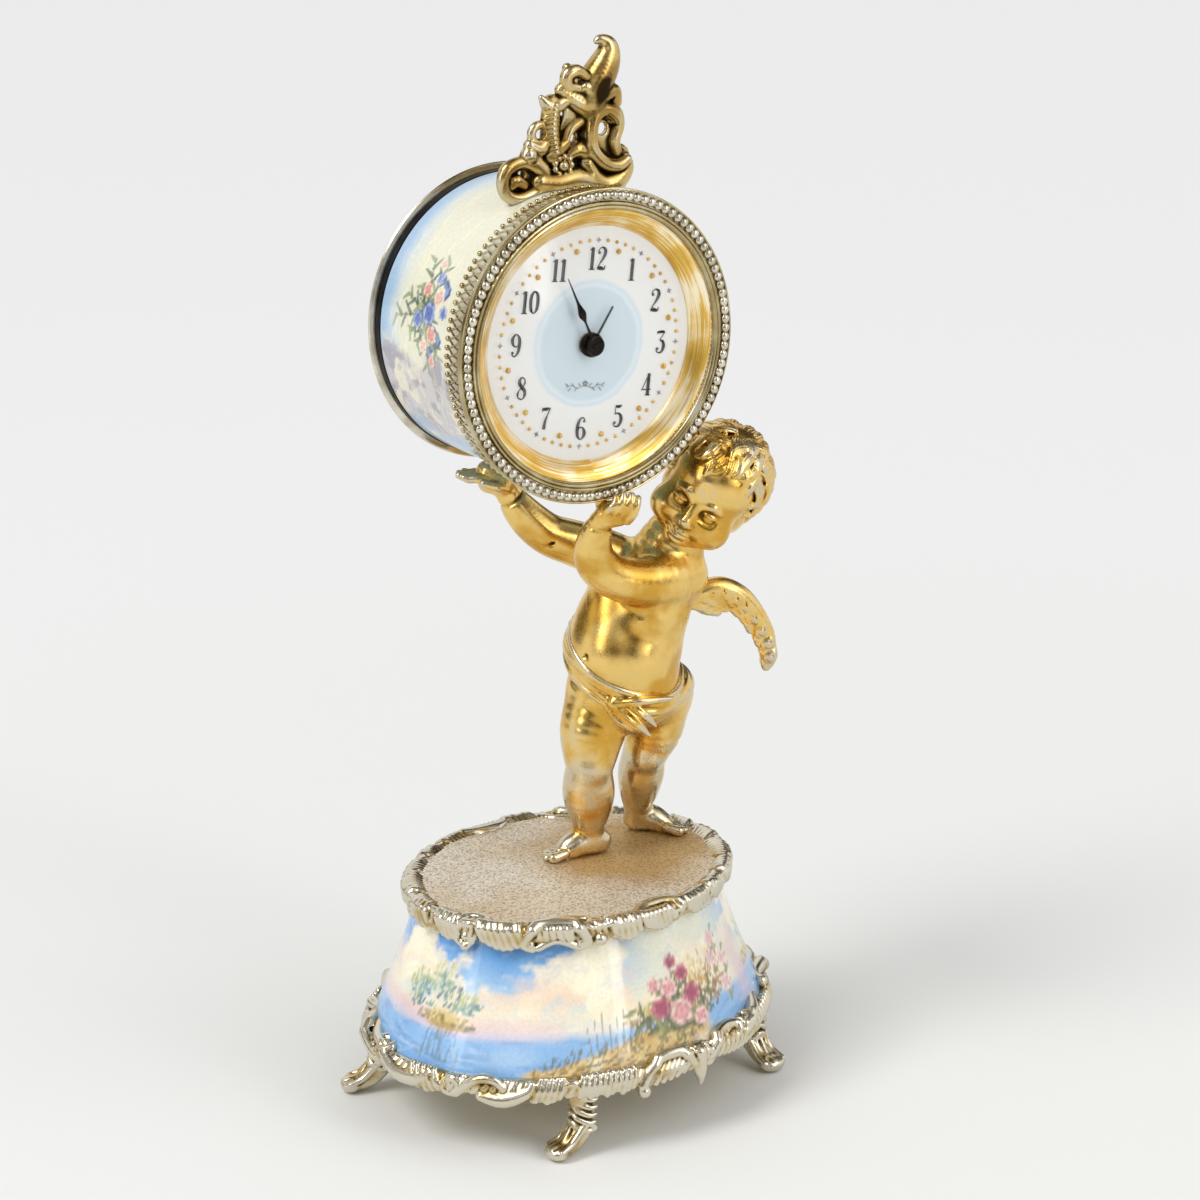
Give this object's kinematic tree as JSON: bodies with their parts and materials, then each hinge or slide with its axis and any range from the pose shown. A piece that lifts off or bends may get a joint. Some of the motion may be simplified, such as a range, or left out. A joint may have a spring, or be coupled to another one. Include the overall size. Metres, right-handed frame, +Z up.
{
  "type": "miniature drum clock",
  "caption": "Small enamelled drum clock held up by a gilt winged child on an oval flared enamel base with scroll feet, with working hands, train, winding and hinged back.",
  "frame": {"origin": "on the table under the middle of the oval base", "axes": "+Z up, the dial faces -Y, +X to the right as one looks at the dial"},
  "size_m": [0.0746, 0.0694, 0.17],
  "materials": {
    "silver_gilt": "cast and chased silver with a thin, worn gilding",
    "gilt_figure": "cast silver, gilt, with the gilding worn to silver on its high places",
    "matted_silver_gilt": "matted with a fine punch",
    "painted_enamel": "painted enamel under a clear glossy flux",
    "dial_enamel": "glossy white enamel with a pale blue middle",
    "gilt_sight": "turned and brushed",
    "crystal": "clear polished glass",
    "blackened_steel": "dull black",
    "dark_hands": "dark oxidised",
    "movement_brass": "satin",
    "steel": "satin"
  },
  "bodies": {
    "stand": {"foot_frame": "silver_gilt", "foot_back": "silver_gilt", "foot_left": "silver_gilt", "foot_front": "silver_gilt", "foot_right": "silver_gilt", "enamel_base": "painted_enamel", "top_plate": "matted_silver_gilt", "base_floor": "silver_gilt", "tie_rod": "steel", "tie_nut": "movement_brass", "figure_nut_front": "movement_brass", "figure_nut_back": "movement_brass", "figure_body": "gilt_figure", "figure_head": "gilt_figure", "right_arm": "gilt_figure", "left_arm": "gilt_figure", "wing_left": "gilt_figure", "wing_right": "gilt_figure", "drapery": "gilt_figure", "drum_shell": "painted_enamel", "front_bezel": "silver_gilt", "gallery_ring": "silver_gilt", "crystal": "crystal", "sight_ring": "gilt_sight", "dial": "dial_enamel", "back_seat_ring": "blackened_steel", "back_rim": "silver_gilt", "door_hinge_pin": "steel", "finial": "gilt_figure", "finial_nut": "movement_brass", "drum_screw": "steel", "movement_ring": "movement_brass", "front_plate": "movement_brass", "back_plate": "movement_brass", "balance_cock": "movement_brass"},
    "hands_minute": {"minute_hand": "dark_hands", "hand_collet": "dark_hands", "cannon_pinion": "steel", "centre_arbor": "steel", "setting_knob": "movement_brass"},
    "hands_hour": {"hour_hand": "dark_hands", "hour_wheel": "movement_brass"},
    "motion_wheel": {"minute_wheel": "movement_brass"},
    "going_barrel": {"mainspring_barrel": "movement_brass"},
    "winding_arbor": {"barrel_arbor": "steel", "ratchet_wheel": "steel", "winding_key": "movement_brass"},
    "ratchet_click": {"click": "steel"},
    "centre_wheel_body": {"centre_wheel": "movement_brass"},
    "third_wheel_body": {"third_wheel": "movement_brass"},
    "fourth_wheel_body": {"fourth_wheel": "movement_brass"},
    "escape_wheel_body": {"escape_wheel": "steel"},
    "lever_body": {"pallet_lever": "steel"},
    "balance_body": {"balance_wheel": "movement_brass", "hairspring": "steel"},
    "door": {"back_door": "silver_gilt"}
  },
  "joints": [
    {"name": "minute_turn", "type": "hinge", "parent": "stand", "child": "hands_minute", "pos_m": [-0.0011, 0, 0.1246], "axis": [0, 1, 0], "continuous": true},
    {"name": "hour_turn", "type": "hinge", "parent": "stand", "child": "hands_hour", "pos_m": [-0.0011, 0, 0.1246], "axis": [0, 1, 0], "continuous": true},
    {"name": "minute_wheel_turn", "type": "hinge", "parent": "stand", "child": "motion_wheel", "pos_m": [0.00341, 0, 0.12624], "axis": [0, 1, 0], "continuous": true},
    {"name": "fourth_turn", "type": "hinge", "parent": "stand", "child": "fourth_wheel_body", "pos_m": [0.00776, 0, 0.12688], "axis": [0, 1, 0], "continuous": true},
    {"name": "third_turn", "type": "hinge", "parent": "stand", "child": "third_wheel_body", "pos_m": [0.00268, 0, 0.13115], "axis": [0, 1, 0], "continuous": true},
    {"name": "centre_turn", "type": "hinge", "parent": "stand", "child": "centre_wheel_body", "pos_m": [-0.0011, 0, 0.1246], "axis": [0, 1, 0], "continuous": true},
    {"name": "escape_turn", "type": "hinge", "parent": "stand", "child": "escape_wheel_body", "pos_m": [0.00957, 0, 0.12192], "axis": [0, 1, 0], "continuous": true},
    {"name": "barrel_turn", "type": "hinge", "parent": "stand", "child": "going_barrel", "pos_m": [-0.00798, 0, 0.11978], "axis": [0, 1, 0], "continuous": true},
    {"name": "winding_turn", "type": "hinge", "parent": "stand", "child": "winding_arbor", "pos_m": [-0.00798, 0, 0.11978], "axis": [0, 1, 0], "range_deg": [0, 1800]},
    {"name": "click_lift", "type": "hinge", "parent": "stand", "child": "ratchet_click", "pos_m": [-0.01051, 0, 0.12454], "axis": [0, -1, 0], "range_deg": [0, 14], "stiffness_Nm_per_rad": 0.000001},
    {"name": "lever_rock", "type": "hinge", "parent": "stand", "child": "lever_body", "pos_m": [0.0075, 0, 0.11897], "axis": [0, 1, 0], "range_deg": [-5, 5]},
    {"name": "balance_swing", "type": "hinge", "parent": "stand", "child": "balance_body", "pos_m": [0.00509, 0, 0.11553], "axis": [0, 1, 0], "range_deg": [-220, 220], "stiffness_Nm_per_rad": 0.000002},
    {"name": "door_swing", "type": "hinge", "parent": "stand", "child": "door", "pos_m": [0.024, 0.0181, 0.1246], "axis": [0, 0, -1], "range_deg": [0, 110]}
  ],
  "couplings": [
    {"joint": "hour_turn", "follows": "minute_turn", "ratio": 0.083333},
    {"joint": "minute_wheel_turn", "follows": "minute_turn", "ratio": -0.33333},
    {"joint": "third_turn", "follows": "fourth_turn", "ratio": -0.13333},
    {"joint": "centre_turn", "follows": "fourth_turn", "ratio": 0.016667},
    {"joint": "escape_turn", "follows": "fourth_turn", "ratio": -7},
    {"joint": "barrel_turn", "follows": "fourth_turn", "ratio": -0.0027778}
  ]
}
